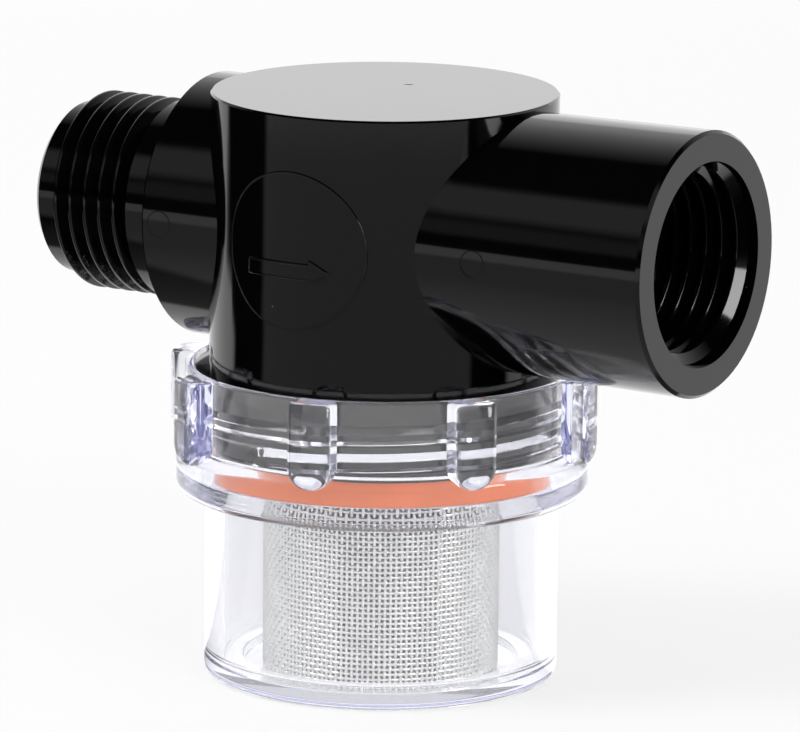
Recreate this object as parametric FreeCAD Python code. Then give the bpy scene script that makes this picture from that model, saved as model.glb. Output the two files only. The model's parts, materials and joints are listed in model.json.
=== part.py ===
"""Twist-on water strainer for a pump inlet: moulded head, clear bowl, flat gasket and rolled mesh screen.

Millimetres. The origin is the centre of the bowl's base, +Z runs up the bowl's axis and +X points
the way the water flows, from the male port to the female port.
"""
import FreeCAD, Part
import math
import os

# ---- bowl --------------------------------------------------------------------------------------
BOWL_WALL = 1.9
DEBRIS_GAP = 2.2
BASE_ROUND = 1.0
FLOOR_THICKNESS = 2.4
SEAT_GROOVE_DEPTH = 1.0
SEAT_GROOVE_MARGIN = 1.9
FLANGE_REACH = 3.1
FLANGE_DEPTH = 4.6
FLANGE_ROUND = 1.5
FLANGE_CHAMFER = 0.95
COLLAR_WALL = 0.75
COLLAR_BORE_DEPTH = 7.9
COLLAR_LEAD_IN = 0.9
RIM_CHAMFER = 0.3
INNER_CORNER_CHAMFER = 0.4

# ---- grip ribs on the collar -------------------------------------------------------------------
RIB_COUNT = 8
RIB_FIRST_ANGLE = 12.5
RIB_WIDTH = 4.8
RIB_DEPTH = 2.5
RIB_FOOT_DROP = 0.3
RIB_EDGE_CHAMFER = 0.8
RIB_TOP_CHAMFER = 0.45

# ---- coarse buttress thread between bowl and head ----------------------------------------------
THREAD_LEAD = 2.8
THREAD_DEPTH = 1.15
THREAD_CREST = 0.6
THREAD_BEARING_RISE = 0.4
THREAD_GAP = 0.3
BOWL_THREAD_START_ANGLE = -103.0
BOWL_THREAD_TURNS = 1.4
HEAD_THREAD_START_TURN = -0.35
HEAD_THREAD_TURNS = 1.2
THREAD_ROOT_SINK = 0.3

# ---- gasket ------------------------------------------------------------------------------------
GASKET_THICKNESS = 1.7
GASKET_INSET = 0.3
GASKET_SEAT_HEIGHT = 21.6
GASKET_CLEARANCE = 0.2

# ---- screen ------------------------------------------------------------------------------------
SCREEN_OUTER_RADIUS = 12.1
SCREEN_THICKNESS = 0.25
SCREEN_OVERLAP_ANGLE = 48.0
SCREEN_SEAM_ANGLE = -79.0
SCREEN_CLEARANCE = 0.3
SCREEN_ABOVE_GASKET = 3.4

# ---- head --------------------------------------------------------------------------------------
HEAD_TOP_ABOVE_BOSS = 0.1
HEAD_WALL = 2.4
HEAD_TOP_WALL = 3.0
HEAD_EDGE_CHAMFER = 0.2
LEDGE_WIDTH = 1.45
LEDGE_CLEARANCE = 0.3
LEDGE_DROP = 0.35
LEDGE_THICKNESS = 1.3
SKIRT_CLEARANCE = 0.3
PILOT_LENGTH = 0.75
INNER_TUBE_OUTER_RADIUS = 12.6
INNER_TUBE_BORE_RADIUS = 9.9
SPIGOT_LENGTH = 4.9

# ---- ports -------------------------------------------------------------------------------------
PORT_AXIS_ABOVE_RIM = 14.55
FEMALE_FACE = 38.4
FEMALE_OUTER_RADIUS = 13.65
FEMALE_ROOT_RADIUS = 13.25
FEMALE_EDGE_CHAMFER = 0.35
FEMALE_BORE_RADIUS = 10.3
FEMALE_MOUTH_RADIUS = 10.5
FEMALE_MOUTH_DEPTH = 1.9
FEMALE_BORE_DEPTH = 16.5
MALE_BOSS_RADIUS = 13.8
MALE_BOSS_END = 21.1
MALE_BOSS_CHAMFER = 0.35
MALE_NECK_RADIUS = 10.45
MALE_NECK_END = 25.2
MALE_THREAD_ROOT_RADIUS = 9.1
MALE_TIP = 37.65
MALE_TIP_CHAMFER = 0.6
PASSAGE_RADIUS = 6.5
OUTLET_DUCT_WALL = 1.9

# ---- flow medallion ----------------------------------------------------------------------------
MEDALLION_RADIUS = 8.1
MEDALLION_RAISE = 0.15
ARROW_RAISE = 0.3
ARROW_TAIL = -5.1
ARROW_TIP = 4.5
ARROW_HEAD_LENGTH = 2.1
ARROW_HEAD_WIDTH = 2.4
ARROW_SHAFT_WIDTH = 1.5
ARROW_BELOW_AXIS = 2.0

# ---- derived -----------------------------------------------------------------------------------
SCREEN_BORE_RADIUS = SCREEN_OUTER_RADIUS - SCREEN_THICKNESS
SEAT_HEIGHT = FLOOR_THICKNESS - SEAT_GROOVE_DEPTH
SEAT_BOSS_RADIUS = SCREEN_BORE_RADIUS - SCREEN_CLEARANCE
SEAT_GROOVE_RADIUS = SCREEN_OUTER_RADIUS + SCREEN_THICKNESS + SEAT_GROOVE_MARGIN
BOWL_BORE_RADIUS = SEAT_GROOVE_RADIUS + DEBRIS_GAP
BOWL_RADIUS = BOWL_BORE_RADIUS + BOWL_WALL
FLANGE_RADIUS = BOWL_RADIUS + FLANGE_REACH
COLLAR_RADIUS = FLANGE_RADIUS - FLANGE_CHAMFER
COLLAR_BORE_RADIUS = COLLAR_RADIUS - COLLAR_WALL
RIB_OUTER_RADIUS = COLLAR_RADIUS + RIB_DEPTH
GASKET_OUTER_RADIUS = BOWL_RADIUS - GASKET_INSET
LEDGE_RADIUS = COLLAR_BORE_RADIUS - LEDGE_CLEARANCE
HEAD_RADIUS = LEDGE_RADIUS - LEDGE_WIDTH
GASKET_TOP = GASKET_SEAT_HEIGHT + GASKET_THICKNESS
GASKET_POCKET_RADIUS = GASKET_OUTER_RADIUS + GASKET_CLEARANCE
SPIGOT_RADIUS = SCREEN_BORE_RADIUS - SCREEN_CLEARANCE
POCKET_TOP = GASKET_TOP + PILOT_LENGTH
COLLAR_BORE_BOTTOM = POCKET_TOP + COLLAR_LEAD_IN
RIM_HEIGHT = COLLAR_BORE_BOTTOM + COLLAR_BORE_DEPTH
FLANGE_TOP = COLLAR_BORE_BOTTOM - FLANGE_CHAMFER
FLANGE_UNDERSIDE = FLANGE_TOP - FLANGE_DEPTH
RIB_BOTTOM = FLANGE_TOP - RIB_FOOT_DROP
BOWL_THREAD_FIRST_CREST = COLLAR_BORE_BOTTOM + THREAD_CREST / 2 + THREAD_BEARING_RISE
PORT_AXIS_HEIGHT = RIM_HEIGHT + PORT_AXIS_ABOVE_RIM
ARROW_HEIGHT = PORT_AXIS_HEIGHT - ARROW_BELOW_AXIS
HEAD_TOP = PORT_AXIS_HEIGHT + MALE_BOSS_RADIUS + HEAD_TOP_ABOVE_BOSS
SCREEN_TOP = GASKET_TOP + SCREEN_ABOVE_GASKET
SPIGOT_SHOULDER = SCREEN_TOP + SCREEN_CLEARANCE
CHAMBER_RADIUS = HEAD_RADIUS - HEAD_WALL
CHAMBER_CEILING = HEAD_TOP - HEAD_TOP_WALL
SKIRT_RADIUS = COLLAR_BORE_RADIUS - THREAD_DEPTH - SKIRT_CLEARANCE
PILOT_RADIUS = GASKET_POCKET_RADIUS - SKIRT_CLEARANCE
LEDGE_TOP = RIM_HEIGHT - LEDGE_DROP
LEDGE_BOTTOM = LEDGE_TOP - LEDGE_THICKNESS
HEAD_CREST_RADIUS = COLLAR_BORE_RADIUS - THREAD_GAP
OUTLET_DUCT_RADIUS = PASSAGE_RADIUS + OUTLET_DUCT_WALL
RIB_PITCH_ANGLE = 360.0 / RIB_COUNT

# ---- shared axes and working allowances --------------------------------------------------------
UP = FreeCAD.Vector(0, 0, 1)
FLOW = FreeCAD.Vector(1, 0, 0)
AXIS_POINT = FreeCAD.Vector(0, 0, 0)
PORT_CENTRE = FreeCAD.Vector(0, 0, PORT_AXIS_HEIGHT)
CUT_THROUGH = 1.0
ROUND_STEPS = 3


def revolve(points):
    """Solid of revolution about +Z from (radius, height) points."""
    corners = [FreeCAD.Vector(radius, 0, height) for radius, height in points]
    outline = Part.makePolygon(corners + corners[:1])
    return Part.Face(outline).revolve(AXIS_POINT, UP, 360)


def tube(outer_radius, inner_radius, bottom, top):
    """Upright tube about +Z."""
    return revolve([(inner_radius, bottom), (outer_radius, bottom), (outer_radius, top), (inner_radius, top)])


def port_rod(start, end, start_radius, end_radius):
    """Rod or cone along the ports' axis, from x = start to x = end."""
    base = PORT_CENTRE + FLOW * min(start, end)
    radii = (start_radius, end_radius) if start < end else (end_radius, start_radius)
    length = abs(end - start)
    if radii[0] == radii[1]:
        return Part.makeCylinder(radii[0], length, base, FLOW)
    return Part.makeCone(radii[0], radii[1], length, base, FLOW)


def rounded_corner(radius, height, size):
    """Points that round a profile's lower outer corner in flat steps, from below to its side."""
    points = []
    for step in range(ROUND_STEPS + 1):
        angle = math.pi / 2 * step / ROUND_STEPS
        points.append((radius - size * (1 - math.sin(angle)), height + size * (1 - math.cos(angle))))
    return points


def chamfer_circles(solid, size, axis_index, place, circle_radius):
    """Chamfer the circular edges of one radius that lie in the plane axis = place."""
    chosen = []
    for edge in solid.Edges:
        is_circle = isinstance(edge.Curve, Part.Circle) and abs(edge.Curve.Radius - circle_radius) < 1e-6
        if is_circle and abs(edge.Curve.Center[axis_index] - place) < 1e-6:
            chosen.append(edge)
    return solid.makeChamfer(size, chosen)


def helical_ridge(section, lead, turns, start_angle, start_height):
    """Sweep a (radius, height offset) section along a right-hand helix about +Z."""
    path_radius = section[0][0]
    helix = Part.makeHelix(lead, lead * turns, path_radius)
    corners = [FreeCAD.Vector(radius, 0, offset) for radius, offset in section]
    outline = Part.makePolygon(corners + corners[:1])
    ridge = Part.Wire(helix).makePipeShell([outline], True, True)
    ridge.rotate(AXIS_POINT, UP, start_angle)
    ridge.translate(UP * start_height)
    return ridge


def bowl_thread():
    """Inward buttress ridge: steep bearing side below, 45-degree side above."""
    root = COLLAR_BORE_RADIUS + THREAD_ROOT_SINK
    crest = COLLAR_BORE_RADIUS - THREAD_DEPTH
    slope = 1.0 + THREAD_ROOT_SINK / THREAD_DEPTH
    half = THREAD_CREST / 2
    section = [
        (root, -half - THREAD_BEARING_RISE * slope),
        (root, half + THREAD_DEPTH * slope),
        (crest, half),
        (crest, -half),
    ]
    return helical_ridge(section, THREAD_LEAD, BOWL_THREAD_TURNS,
                         BOWL_THREAD_START_ANGLE, BOWL_THREAD_FIRST_CREST)


def head_thread():
    """Outward ridge that fills the bowl's groove less the gap on every side."""
    groove_floor = THREAD_LEAD - THREAD_CREST - THREAD_DEPTH - THREAD_BEARING_RISE
    depth = HEAD_CREST_RADIUS - SKIRT_RADIUS
    rise = THREAD_BEARING_RISE / THREAD_DEPTH
    crest_bottom = THREAD_CREST / 2 + THREAD_DEPTH
    crest_top = crest_bottom + groove_floor - THREAD_GAP * rise
    middle = (crest_bottom + crest_top) / 2
    half = (crest_top - crest_bottom) / 2
    root = SKIRT_RADIUS - THREAD_ROOT_SINK
    sunk = depth + THREAD_ROOT_SINK
    section = [
        (root, -half - sunk),
        (HEAD_CREST_RADIUS, -half),
        (HEAD_CREST_RADIUS, half),
        (root, half + sunk * rise),
    ]
    start_height = BOWL_THREAD_FIRST_CREST + middle + THREAD_LEAD * HEAD_THREAD_START_TURN
    start_angle = BOWL_THREAD_START_ANGLE + 360.0 * HEAD_THREAD_START_TURN
    return helical_ridge(section, THREAD_LEAD, HEAD_THREAD_TURNS, start_angle, start_height)


def grip_rib():
    """One bullet-ended grip rib on the +X side of the collar."""
    half = RIB_WIDTH / 2
    inner = GASKET_POCKET_RADIUS
    bar_bottom = RIB_BOTTOM + half
    face = Part.Face(Part.makePolygon([
        FreeCAD.Vector(inner, 0, bar_bottom),
        FreeCAD.Vector(RIB_OUTER_RADIUS, 0, bar_bottom),
        FreeCAD.Vector(RIB_OUTER_RADIUS, half, bar_bottom),
        FreeCAD.Vector(inner, half, bar_bottom),
        FreeCAD.Vector(inner, 0, bar_bottom),
    ]))
    end = face.revolve(FreeCAD.Vector(0, 0, bar_bottom), FLOW, -180)
    bar = Part.makeBox(RIB_OUTER_RADIUS - inner, RIB_WIDTH, RIM_HEIGHT - bar_bottom,
                       FreeCAD.Vector(inner, -half, bar_bottom))
    rib = bar.fuse(end).removeSplitter()
    outer_edges = [edge for edge in rib.Edges if edge.BoundBox.XMin > RIB_OUTER_RADIUS - 1e-6]
    sides = [edge for edge in outer_edges if edge.BoundBox.ZMin < RIM_HEIGHT - 1e-6]
    rib = rib.makeChamfer(RIB_EDGE_CHAMFER, sides)
    top_edges = [
        edge for edge in rib.Edges
        if edge.BoundBox.ZMin > RIM_HEIGHT - 1e-6 and edge.BoundBox.XMax > RIB_OUTER_RADIUS - RIB_EDGE_CHAMFER
    ]
    top_edges = [edge for edge in top_edges if edge.BoundBox.XMin > inner + 1e-6]
    return rib.makeChamfer(RIB_TOP_CHAMFER, top_edges)


def make_bowl():
    """Clear cup with a flange, a threaded collar, eight grip ribs and a groove that seats the screen."""
    outer = revolve([
        (0, 0), *rounded_corner(BOWL_RADIUS, 0, BASE_ROUND), (BOWL_RADIUS, FLANGE_UNDERSIDE),
        *rounded_corner(FLANGE_RADIUS, FLANGE_UNDERSIDE, FLANGE_ROUND), (FLANGE_RADIUS, FLANGE_TOP),
        (COLLAR_RADIUS, FLANGE_TOP + FLANGE_CHAMFER), (COLLAR_RADIUS, RIM_HEIGHT), (0, RIM_HEIGHT),
    ])
    outer = chamfer_circles(outer, RIM_CHAMFER, 2, RIM_HEIGHT, COLLAR_RADIUS)
    rib = grip_rib()
    ribs = []
    for index in range(RIB_COUNT):
        turned = rib.copy()
        turned.rotate(AXIS_POINT, UP, RIB_FIRST_ANGLE + RIB_PITCH_ANGLE * index)
        ribs.append(turned)
    outer = outer.fuse(ribs)
    above = RIM_HEIGHT + CUT_THROUGH
    inside = revolve([
        (0, FLOOR_THICKNESS), (SEAT_BOSS_RADIUS, FLOOR_THICKNESS), (SEAT_BOSS_RADIUS, SEAT_HEIGHT),
        (SEAT_GROOVE_RADIUS, SEAT_HEIGHT), (SEAT_GROOVE_RADIUS, FLOOR_THICKNESS),
        (BOWL_BORE_RADIUS, FLOOR_THICKNESS), (BOWL_BORE_RADIUS, GASKET_SEAT_HEIGHT),
        (GASKET_POCKET_RADIUS, GASKET_SEAT_HEIGHT), (GASKET_POCKET_RADIUS, POCKET_TOP),
        (COLLAR_BORE_RADIUS, COLLAR_BORE_BOTTOM), (COLLAR_BORE_RADIUS, above), (0, above),
    ])
    inside = chamfer_circles(inside, INNER_CORNER_CHAMFER, 2, FLOOR_THICKNESS, BOWL_BORE_RADIUS)
    return outer.cut(inside).fuse(bowl_thread())


def make_gasket():
    """Flat ring that lies on the bowl's step, under the head's skirt."""
    return tube(GASKET_OUTER_RADIUS, BOWL_BORE_RADIUS, GASKET_SEAT_HEIGHT, GASKET_TOP)


def make_screen():
    """Sheet of woven wire rolled into a sleeve, one edge lapped over the other."""
    sleeve = tube(SCREEN_OUTER_RADIUS, SCREEN_BORE_RADIUS, SEAT_HEIGHT, SCREEN_TOP)
    lap_profile = Part.Face(Part.makePolygon([
        FreeCAD.Vector(SCREEN_OUTER_RADIUS, 0, SEAT_HEIGHT),
        FreeCAD.Vector(SCREEN_OUTER_RADIUS + SCREEN_THICKNESS, 0, SEAT_HEIGHT),
        FreeCAD.Vector(SCREEN_OUTER_RADIUS + SCREEN_THICKNESS, 0, SCREEN_TOP),
        FreeCAD.Vector(SCREEN_OUTER_RADIUS, 0, SCREEN_TOP),
        FreeCAD.Vector(SCREEN_OUTER_RADIUS, 0, SEAT_HEIGHT),
    ]))
    lap = lap_profile.revolve(AXIS_POINT, UP, SCREEN_OVERLAP_ANGLE)
    lap.rotate(AXIS_POINT, UP, SCREEN_SEAM_ANGLE)
    return sleeve.fuse(lap).removeSplitter()


def medallion():
    """Shallow round pad with a flow arrow, both following the head's curved face."""
    outward = FreeCAD.Vector(0, -1, 0)
    pad = Part.makeCylinder(MEDALLION_RADIUS, HEAD_RADIUS + CUT_THROUGH, PORT_CENTRE, outward)
    pad = pad.common(tube(HEAD_RADIUS + MEDALLION_RAISE, CHAMBER_RADIUS + HEAD_WALL / 2, LEDGE_TOP, HEAD_TOP))
    neck = ARROW_TIP - ARROW_HEAD_LENGTH
    half_shaft = ARROW_SHAFT_WIDTH / 2
    half_head = ARROW_HEAD_WIDTH / 2
    outline = [
        (ARROW_TAIL, -half_shaft), (neck, -half_shaft), (neck, -half_head), (ARROW_TIP, 0),
        (neck, half_head), (neck, half_shaft), (ARROW_TAIL, half_shaft),
    ]
    corners = [FreeCAD.Vector(x, 0, ARROW_HEIGHT + z) for x, z in outline]
    arrow = Part.Face(Part.makePolygon(corners + corners[:1])).extrude(outward * (HEAD_RADIUS + CUT_THROUGH))
    arrow = arrow.common(tube(HEAD_RADIUS + ARROW_RAISE, CHAMBER_RADIUS + HEAD_WALL / 2, LEDGE_TOP, HEAD_TOP))
    return pad.fuse(arrow)


def female_port():
    """Outlet socket, slightly wider at its mouth."""
    port = port_rod(0, FEMALE_FACE, FEMALE_ROOT_RADIUS, FEMALE_OUTER_RADIUS)
    return chamfer_circles(port, FEMALE_EDGE_CHAMFER, 0, FEMALE_FACE, FEMALE_OUTER_RADIUS)


def male_port():
    """Inlet boss, plain neck and the round nose that carries the pipe thread."""
    boss = port_rod(0, -MALE_BOSS_END, MALE_BOSS_RADIUS, MALE_BOSS_RADIUS)
    boss = chamfer_circles(boss, MALE_BOSS_CHAMFER, 0, -MALE_BOSS_END, MALE_BOSS_RADIUS)
    neck = port_rod(0, -MALE_NECK_END, MALE_NECK_RADIUS, MALE_NECK_RADIUS)
    nose = port_rod(0, -MALE_TIP, MALE_THREAD_ROOT_RADIUS, MALE_THREAD_ROOT_RADIUS)
    nose = chamfer_circles(nose, MALE_TIP_CHAMFER, 0, -MALE_TIP, MALE_THREAD_ROOT_RADIUS)
    return boss.fuse([neck, nose])


def make_head():
    """Moulded head: closed cylinder, two ports, ledge and threaded skirt, with the outlet tube inside."""
    body = revolve([
        (0, GASKET_TOP), (PILOT_RADIUS, GASKET_TOP), (PILOT_RADIUS, POCKET_TOP),
        (SKIRT_RADIUS, POCKET_TOP + SKIRT_RADIUS - PILOT_RADIUS), (SKIRT_RADIUS, LEDGE_BOTTOM),
        (LEDGE_RADIUS, LEDGE_BOTTOM), (LEDGE_RADIUS, LEDGE_TOP), (HEAD_RADIUS, LEDGE_TOP),
        (HEAD_RADIUS, HEAD_TOP), (0, HEAD_TOP),
    ])
    body = chamfer_circles(body, HEAD_EDGE_CHAMFER, 2, HEAD_TOP, HEAD_RADIUS)
    body = body.fuse([female_port(), male_port()])
    spigot_end = SPIGOT_SHOULDER - SPIGOT_LENGTH
    below = spigot_end - CUT_THROUGH
    chamber = revolve([
        (INNER_TUBE_OUTER_RADIUS, SPIGOT_SHOULDER), (SPIGOT_RADIUS, SPIGOT_SHOULDER), (SPIGOT_RADIUS, below),
        (CHAMBER_RADIUS, below), (CHAMBER_RADIUS, CHAMBER_CEILING), (INNER_TUBE_OUTER_RADIUS, CHAMBER_CEILING),
    ])
    duct = port_rod(0, HEAD_RADIUS, OUTLET_DUCT_RADIUS, OUTLET_DUCT_RADIUS)
    body = body.cut(chamber.cut(duct))
    spigot = tube(SPIGOT_RADIUS, INNER_TUBE_BORE_RADIUS, spigot_end, SPIGOT_SHOULDER)
    body = body.fuse(spigot)
    well = tube(INNER_TUBE_BORE_RADIUS, 0, below, CHAMBER_CEILING)
    bore_end = FEMALE_FACE - FEMALE_BORE_DEPTH
    socket = port_rod(bore_end, FEMALE_FACE + CUT_THROUGH, FEMALE_BORE_RADIUS, FEMALE_BORE_RADIUS)
    mouth = port_rod(FEMALE_FACE - FEMALE_MOUTH_DEPTH, FEMALE_FACE, FEMALE_BORE_RADIUS, FEMALE_MOUTH_RADIUS)
    outlet = port_rod(0, FEMALE_FACE, PASSAGE_RADIUS, PASSAGE_RADIUS)
    inlet_depth = (INNER_TUBE_OUTER_RADIUS + CHAMBER_RADIUS) / 2
    inlet = port_rod(-inlet_depth, -MALE_TIP - CUT_THROUGH, PASSAGE_RADIUS, PASSAGE_RADIUS)
    body = body.cut([well, socket, mouth, outlet, inlet])
    return body.fuse([medallion(), head_thread()]).removeSplitter()


PARTS = {
    "head": make_head,
    "bowl": make_bowl,
    "gasket": make_gasket,
    "screen": make_screen,
}

os.makedirs("parts", exist_ok=True)
for name, make in PARTS.items():
    shape = make()
    print(name, "solids", len(shape.Solids), "valid", shape.isValid(), "volume", round(shape.Volume, 1))
    shape.exportStep(os.path.join("parts", name + ".step"))
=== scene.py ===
"""Finished look of a twist-on sea water strainer, dressed around its packed model."""

import json
import math

import bmesh
import bpy
from mathutils import Matrix, Vector


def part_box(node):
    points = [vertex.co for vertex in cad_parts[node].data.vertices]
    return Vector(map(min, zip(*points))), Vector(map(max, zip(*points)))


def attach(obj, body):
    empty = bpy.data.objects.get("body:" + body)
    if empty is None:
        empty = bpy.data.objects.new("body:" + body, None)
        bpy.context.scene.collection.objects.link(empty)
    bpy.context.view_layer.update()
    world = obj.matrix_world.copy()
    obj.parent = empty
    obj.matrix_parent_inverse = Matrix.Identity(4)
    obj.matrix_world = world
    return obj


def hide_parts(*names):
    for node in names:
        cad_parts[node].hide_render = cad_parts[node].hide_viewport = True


bl_info = {
    "name": "Sea Water Strainer Finish",
    "version": (1, 0, 0),
    "blender": (4, 5, 0),
    "location": "View3D > Sidebar > Strainer",
    "description": "Moulded head, clear bowl, gasket and woven screen of a sea water strainer",
    "category": "Object",
}

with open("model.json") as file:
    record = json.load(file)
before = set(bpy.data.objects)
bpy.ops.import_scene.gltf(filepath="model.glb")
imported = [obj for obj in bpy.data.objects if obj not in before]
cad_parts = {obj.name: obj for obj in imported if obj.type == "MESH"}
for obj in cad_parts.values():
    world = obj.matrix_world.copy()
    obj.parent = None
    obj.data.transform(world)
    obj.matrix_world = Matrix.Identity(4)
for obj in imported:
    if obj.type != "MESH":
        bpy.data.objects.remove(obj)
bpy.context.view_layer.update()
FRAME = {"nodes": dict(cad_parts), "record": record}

MM = 0.001
ORIGIN = Vector((0, 0, 0))
UP = Vector((0, 0, 1))
FLOW = Vector((1, 0, 0))
WHITE = (1, 1, 1, 1)
MERGE = 0.000002  # corners nearer than this are one corner
LATHE_STEPS = 288  # facets round the bowl and the gasket
PIPE_THREAD_STEPS = 120  # steps in one turn of a pipe thread
COARSE_THREAD_STEPS = 180  # steps in one turn of the bowl's thread
NO_CREASE = 180.0  # smooth limit of a piece that stays smooth all over


def mount_point(name):
    """Place of one of the record's mounts."""
    return next(Vector(m["pos_m"]) for m in FRAME["record"]["mounts"] if m["name"] == name)


HEAD_LOW, HEAD_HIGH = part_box("head")
BOWL_LOW, BOWL_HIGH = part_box("bowl")
GASKET_LOW, GASKET_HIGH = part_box("gasket")
SCREEN_LOW, SCREEN_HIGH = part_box("screen")
PORT_CENTRE = Vector((0, 0, mount_point("outlet_socket").z))


# ---- sizes and colours a user would change ----------------------------------------------------

def length(name, description, millimetres):
    """Length property whose default is given in millimetres."""
    return bpy.props.FloatProperty(
        name=name, description=description, default=millimetres * MM,
        min=0.0, precision=5, unit="LENGTH", subtype="DISTANCE")


def angle(name, description, degrees):
    """Angle property whose default is given in degrees."""
    return bpy.props.FloatProperty(
        name=name, description=description, default=math.radians(degrees),
        unit="ROTATION", subtype="ANGLE")


def colour(name, description, value):
    """Colour property."""
    return bpy.props.FloatVectorProperty(
        name=name, description=description, default=value,
        size=3, min=0.0, max=1.0, subtype="COLOR")


def factor(name, description, value):
    """Plain number between nothing and one."""
    return bpy.props.FloatProperty(
        name=name, description=description, default=value,
        min=0.0, max=1.0, subtype="FACTOR")


class HeadFinish(bpy.types.PropertyGroup):
    """Black moulded head."""
    plastic: colour("Plastic", "Colour of the moulded head", (0.001, 0.001, 0.0009))
    dust: colour("Dust", "Colour of the specks that settle on it", (0.07, 0.07, 0.065))
    roughness: factor("Roughness", "Roughness of the moulded skin", 0.07)
    smooth_limit: angle("Smooth Limit", "Edges sharper than this stay crisp", 24.0)


class PipeThreadSizes(bpy.types.PropertyGroup):
    """Half-inch taper pipe threads of both ports."""
    pitch: length("Pitch", "Distance from crest to crest", 1.814)
    nose_root: length("Nose Root Radius", "Radius at the bottom of the male thread", 9.0)
    nose_crest: length("Nose Crest Radius", "Radius at the top of the male thread", 10.4)
    nose_start: length("Nose Start", "From the nose's tip to the first crest", 2.2)
    nose_turns: bpy.props.FloatProperty(
        name="Nose Turns", description="Turns of the male thread", default=5.35, min=1.0)
    socket_root: length("Socket Root Radius", "Radius at the bottom of the female thread", 10.45)
    socket_crest: length("Socket Crest Radius", "Radius at the top of the female thread", 9.2)
    socket_start: length("Socket Start", "From the socket's face to the first crest", 1.35)
    socket_turns: bpy.props.FloatProperty(
        name="Socket Turns", description="Turns of the female thread", default=7.55, min=1.0)
    crest_flat: length("Crest Flat", "Width of each crest", 0.22)


class EjectorMarkSizes(bpy.types.PropertyGroup):
    """Round marks that the mould's ejector pins leave on both ports."""
    radius: length("Radius", "Radius of each round mark", 1.38)
    bead: length("Bead", "Radius of the mark's raised edge", 0.07)
    outlet_place: length("Outlet Place", "Distance of the outlet's mark from the head's axis", 18.9)
    inlet_place: length("Inlet Place", "Distance of the inlet's mark from the head's axis", 18.8)
    outlet_radius: length("Outlet Radius", "Radius of the outlet port there", 13.45)
    inlet_radius: length("Inlet Radius", "Radius of the inlet boss", 13.8)


class BowlSizes(bpy.types.PropertyGroup):
    """Clear bowl."""
    tint: colour("Tint", "Tint of the clear plastic's surface", (0.975, 0.975, 0.985))
    depth_tint: colour(
        "Depth Tint", "Tint that grows with the depth of clear plastic", (0.78, 0.79, 0.95))
    depth_strength: bpy.props.FloatProperty(
        name="Depth Strength", description="How fast the depth tint grows, per metre",
        default=45.0, min=0.0)
    haze: factor("Haze", "Share of light that the clear plastic scatters", 0.035)
    roughness: factor("Roughness", "Roughness of the clear plastic", 0.012)
    wall: length("Wall", "Thickness of the cup's wall", 1.9)
    floor: length("Floor", "Thickness of the cup's floor", 2.4)
    cup_radius: length("Cup Radius", "Outer radius of the cup", 18.35)
    base_round: length("Base Round", "Round of the cup's foot", 1.25)
    flange_radius: length("Flange Radius", "Radius of the flange", 21.45)
    flange_low: length("Flange Low", "Height of the flange's underside", 19.4)
    flange_high: length("Flange High", "Height where the flange's slope starts", 24.0)
    flange_slope: length("Flange Slope", "Width and height of the slope above the flange", 0.95)
    flange_round: length("Flange Round", "Round under the flange", 1.5)
    collar_radius: length("Collar Radius", "Outer radius of the collar", 20.5)
    collar_bore: length("Collar Bore", "Inner radius of the collar", 19.75)
    pocket_radius: length("Pocket Radius", "Radius of the gasket's pocket", 18.25)
    pocket_high: length("Pocket High", "Height where the pocket opens into the collar", 24.05)
    collar_low: length("Collar Low", "Height where the collar's straight bore starts", 24.95)
    groove_inner: length("Groove Inner Radius", "Inner radius of the screen's groove", 11.55)
    groove_outer: length("Groove Outer Radius", "Outer radius of the screen's groove", 14.25)
    rib_radius: length("Rib Radius", "Distance of the grip ribs' faces from the axis", 23.0)
    rib_width: length("Rib Width", "Width of each grip rib", 4.8)
    rib_foot: length("Rib Foot", "Height of the grip ribs' round feet", 23.7)
    rib_round: length("Rib Round", "Round along the grip ribs' edges", 1.25)
    rib_count: bpy.props.IntProperty(
        name="Rib Count", description="Number of grip ribs", default=8, min=3)
    rib_first: angle("First Rib", "Angle of the first grip rib", 12.5)
    thread_lead: length("Thread Lead", "Rise of the coarse thread in one turn", 2.8)
    thread_depth: length("Thread Depth", "Depth of the coarse thread", 1.15)
    thread_crest: length("Thread Crest", "Width of the coarse thread's crest", 0.6)
    thread_rise: length("Thread Rise", "Slant of the coarse thread's bearing side", 0.4)
    thread_start: angle("Thread Start", "Angle where the coarse thread starts", -103.0)
    thread_turns: bpy.props.FloatProperty(
        name="Thread Turns", description="Turns of the coarse thread", default=1.4, min=0.5)


class GasketSizes(bpy.types.PropertyGroup):
    """Flat sealing ring."""
    rubber: colour("Rubber", "Colour of the gasket", (0.90, 0.19, 0.035))
    edge_round: length("Edge Round", "Round along the gasket's edges", 0.25)


class ScreenSizes(bpy.types.PropertyGroup):
    """Woven wire screen rolled into a sleeve."""
    steel: colour("Steel", "Colour of the wire", (0.86, 0.86, 0.835))
    pitch: length("Wire Pitch", "Distance from wire to wire", 0.54)
    wire: length("Wire", "Radius of each wire", 0.235)
    weave: length("Weave", "How far an upright wire swings over and under the hoops", 0.12)
    hoop_weave: length("Hoop Weave", "How far a hoop swings over and under the uprights", 0.06)
    thickness: length("Thickness", "Thickness of the cloth", 0.25)
    lap: angle("Lap", "Angle over which the sheet's edges overlap", 48.0)
    seam: angle("Seam", "Angle where the overlap starts", -79.0)


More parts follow.
